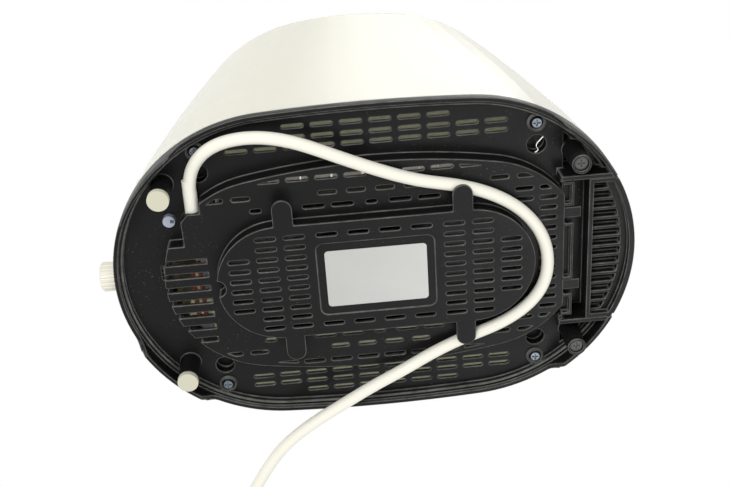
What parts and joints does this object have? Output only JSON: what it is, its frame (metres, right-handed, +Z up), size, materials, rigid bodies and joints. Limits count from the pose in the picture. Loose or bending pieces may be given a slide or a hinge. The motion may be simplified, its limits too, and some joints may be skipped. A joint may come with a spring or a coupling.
{
  "type": "toaster",
  "caption": "Oval two-slice pop-up toaster with ribbed black base, cord wrap, sliding crumb tray, browning knob, lever carriage and mains lead.",
  "frame": {"origin": "centre of the object's box (without the lead) on the plane of the feet", "axes": "+Z up, -X towards the lever and knob end, +X the way the crumb tray slides out"},
  "size_m": [0.287, 0.3258, 0.195],
  "materials": {
    "black_plastic": "satin black moulded plastic",
    "cream_plastic": "cream glossy plastic",
    "panel_plastic": "satin black plastic",
    "brushed_top": "brushed steel",
    "tray_steel": "dull zinc-plated sheet",
    "pad_rubber": "pale grey rubber",
    "screw_steel": "bright plated steel",
    "label_silver": "satin silver film",
    "sheet_steel": "plated sheet steel",
    "guard_wire": "plated wire",
    "mica": "flecked mica board",
    "heating_alloy": "oxidised heating wire",
    "magnet_coil": "enamelled copper winding",
    "board_brown": "phenolic circuit board",
    "pot_grey": "grey plastic",
    "terminal_white": "pale plastic",
    "wire_red": "red insulated wire",
    "lead_white": "warm white PVC"
  },
  "bodies": {
    "body": {"base_shell": "black_plastic", "outer_shell": "cream_plastic", "top_plate": "brushed_top", "control_panel": "panel_plastic", "foot_pads": "pad_rubber", "foot_discs": "black_plastic", "base_screws": "screw_steel", "label_plate": "label_silver", "front_plate": "sheet_steel", "rear_plate": "sheet_steel", "side_reflectors": "sheet_steel", "heater_boards": "mica", "heating_wires": "heating_alloy", "guide_rods": "screw_steel", "return_spring": "heating_alloy", "magnet": "magnet_coil", "circuit_board": "board_brown", "potentiometer": "pot_grey", "button_switches": "black_plastic", "terminal_block": "terminal_white", "inner_wires": "wire_red", "strain_relief": "lead_white", "cord_clip": "terminal_white", "cord_tube": "lead_white", "cord_coil": "lead_white", "cord_tail": "lead_white", "plug_relief": "lead_white", "plug_body": "lead_white", "plug_pins": "screw_steel"},
    "carriage": {"carriage": "sheet_steel", "bread_racks": "sheet_steel", "lever_arm": "sheet_steel", "lever_knob": "cream_plastic"},
    "guard_right_outer": {"guard_right_outer": "guard_wire"},
    "guard_right_inner": {"guard_right_inner": "guard_wire"},
    "guard_left_inner": {"guard_left_inner": "guard_wire"},
    "guard_left_outer": {"guard_left_outer": "guard_wire"},
    "knob": {"browning_knob": "cream_plastic", "knob_shaft": "screw_steel"},
    "cancel": {"button_cancel": "cream_plastic"},
    "reheat": {"button_reheat": "cream_plastic"},
    "defrost": {"button_defrost": "cream_plastic"},
    "tray": {"crumb_tray": "tray_steel", "tray_handle": "black_plastic"}
  },
  "joints": [
    {"name": "carriage_slide", "type": "slide", "parent": "body", "child": "carriage", "axis": [0, 0, -1], "range_m": [0, 0.048], "stiffness_N_per_m": 90, "springref_m": -0.03, "deforming": ["return_spring"]},
    {"name": "guard_right_outer_lean", "type": "hinge", "parent": "body", "child": "guard_right_outer", "pos_m": [0.0045, -0.043, 0.055], "axis": [1, 0, 0], "range_deg": [-6, 0]},
    {"name": "guard_right_inner_lean", "type": "hinge", "parent": "body", "child": "guard_right_inner", "pos_m": [0.0045, -0.013, 0.055], "axis": [1, 0, 0], "range_deg": [0, 6]},
    {"name": "guard_left_inner_lean", "type": "hinge", "parent": "body", "child": "guard_left_inner", "pos_m": [0.0045, 0.013, 0.055], "axis": [1, 0, 0], "range_deg": [-6, 0]},
    {"name": "guard_left_outer_lean", "type": "hinge", "parent": "body", "child": "guard_left_outer", "pos_m": [0.0045, 0.043, 0.055], "axis": [1, 0, 0], "range_deg": [0, 6]},
    {"name": "knob_turn", "type": "hinge", "parent": "body", "child": "knob", "pos_m": [-0.1355, 0, 0.0287], "axis": [-1, 0, 0], "range_deg": [-135, 135]},
    {"name": "tray_slide", "type": "slide", "parent": "body", "child": "tray", "axis": [1, 0, 0], "range_m": [0, 0.2]},
    {"name": "cancel_press", "type": "slide", "parent": "body", "child": "cancel", "axis": [1, 0, 0], "range_m": [0, 0.0025], "stiffness_N_per_m": 300, "springref_m": -0.002},
    {"name": "reheat_press", "type": "slide", "parent": "body", "child": "reheat", "axis": [1, 0, 0], "range_m": [0, 0.0025], "stiffness_N_per_m": 300, "springref_m": -0.002},
    {"name": "defrost_press", "type": "slide", "parent": "body", "child": "defrost", "axis": [1, 0, 0], "range_m": [0, 0.0025], "stiffness_N_per_m": 300, "springref_m": -0.002}
  ],
  "couplings": [
    {"joint": "guard_right_outer_lean", "follows": "carriage_slide", "rad_per_m": -2.18},
    {"joint": "guard_right_inner_lean", "follows": "carriage_slide", "rad_per_m": 2.18},
    {"joint": "guard_left_inner_lean", "follows": "carriage_slide", "rad_per_m": -2.18},
    {"joint": "guard_left_outer_lean", "follows": "carriage_slide", "rad_per_m": 2.18}
  ]
}
